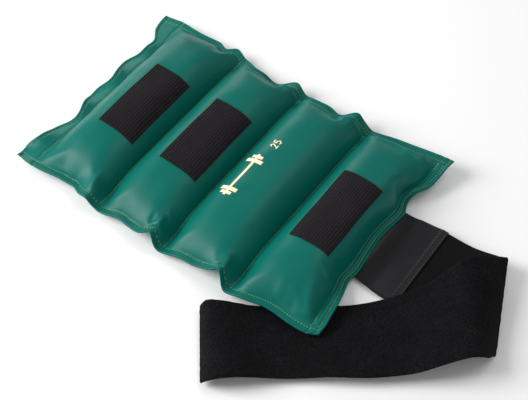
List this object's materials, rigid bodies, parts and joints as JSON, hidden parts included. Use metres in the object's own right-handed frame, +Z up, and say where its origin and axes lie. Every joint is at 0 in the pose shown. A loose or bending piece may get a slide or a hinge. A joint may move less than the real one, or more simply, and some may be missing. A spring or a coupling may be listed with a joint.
{
  "type": "ankle cuff weight",
  "caption": "Flat row of sewn vinyl pockets filled with steel shot, with hook tape pads and a wide loop strap on a vinyl tab, wrapped round an ankle as an exercise weight",
  "frame": {"origin": "middle of the cuff between its near and far hems, on the line of the middle seam, on the plane that it lies on", "axes": "+X across the pockets towards the strap, +Y along the pockets, +Z up, outer side of the cuff uppermost"},
  "size_m": [0.5624, 0.368, 0.0449],
  "materials": {
    "vinyl_cloth": "satin coated vinyl cloth",
    "steel_shot": "loose steel shot",
    "green_thread": "polyester sewing thread",
    "hook_tape": "moulded nylon hook tape",
    "print_ink": "screen printed ink",
    "black_vinyl": "satin coated vinyl cloth",
    "loop_tape": "brushed nylon loop tape"
  },
  "bodies": {
    "pocket_1": {"outer_cover_1": "vinyl_cloth", "inner_cover_1": "vinyl_cloth", "shot_fill_1": "steel_shot", "hem_thread_1": "green_thread", "hook_pad_1": "hook_tape"},
    "pocket_2": {"outer_cover_2": "vinyl_cloth", "inner_cover_2": "vinyl_cloth", "shot_fill_2": "steel_shot", "hem_thread_2": "green_thread", "hook_pad_2": "hook_tape", "seam_strip_1": "vinyl_cloth", "seam_thread_1": "green_thread", "seam_strip_2": "vinyl_cloth", "seam_thread_2": "green_thread"},
    "pocket_3": {"outer_cover_3": "vinyl_cloth", "inner_cover_3": "vinyl_cloth", "shot_fill_3": "steel_shot", "hem_thread_3": "green_thread", "print_barbell": "print_ink", "print_number": "print_ink", "seam_strip_3": "vinyl_cloth", "seam_thread_3": "green_thread"},
    "pocket_4": {"outer_cover_4": "vinyl_cloth", "inner_cover_4": "vinyl_cloth", "shot_fill_4": "steel_shot", "hem_thread_4": "green_thread", "hook_pad_4": "hook_tape", "strap_anchor": "black_vinyl"},
    "strap_tab": {"tab_bend": "black_vinyl", "strap_tab": "black_vinyl", "strap_out": "loop_tape", "strap_fold": "loop_tape"},
    "strap_back": {"strap_back": "loop_tape"}
  },
  "joints": [
    {"name": "seam_1_bend", "type": "hinge", "parent": "pocket_2", "child": "pocket_1", "pos_m": [-0.09, 0, 0.01312], "axis": [0, -1, 0], "range_deg": [-40, 70]},
    {"name": "seam_2_bend", "type": "hinge", "parent": "pocket_2", "child": "pocket_3", "pos_m": [0, 0, 0.01312], "axis": [0, 1, 0], "range_deg": [-40, 70]},
    {"name": "seam_3_bend", "type": "hinge", "parent": "pocket_3", "child": "pocket_4", "pos_m": [0.09, 0, 0.01312], "axis": [0, 1, 0], "range_deg": [-40, 70]},
    {"name": "tab_lift", "type": "hinge", "parent": "pocket_4", "child": "strap_tab", "pos_m": [0.194, 0.0115, 0.01122], "axis": [0, -1, 0], "range_deg": [0, 90]},
    {"name": "strap_unfold", "type": "hinge", "parent": "strap_tab", "child": "strap_back", "pos_m": [0.3295, 0.013, 0.0111], "axis": [-0.4162, 0.9032, 0.1045], "range_deg": [0, 165], "deforming": ["strap_back"]}
  ]
}
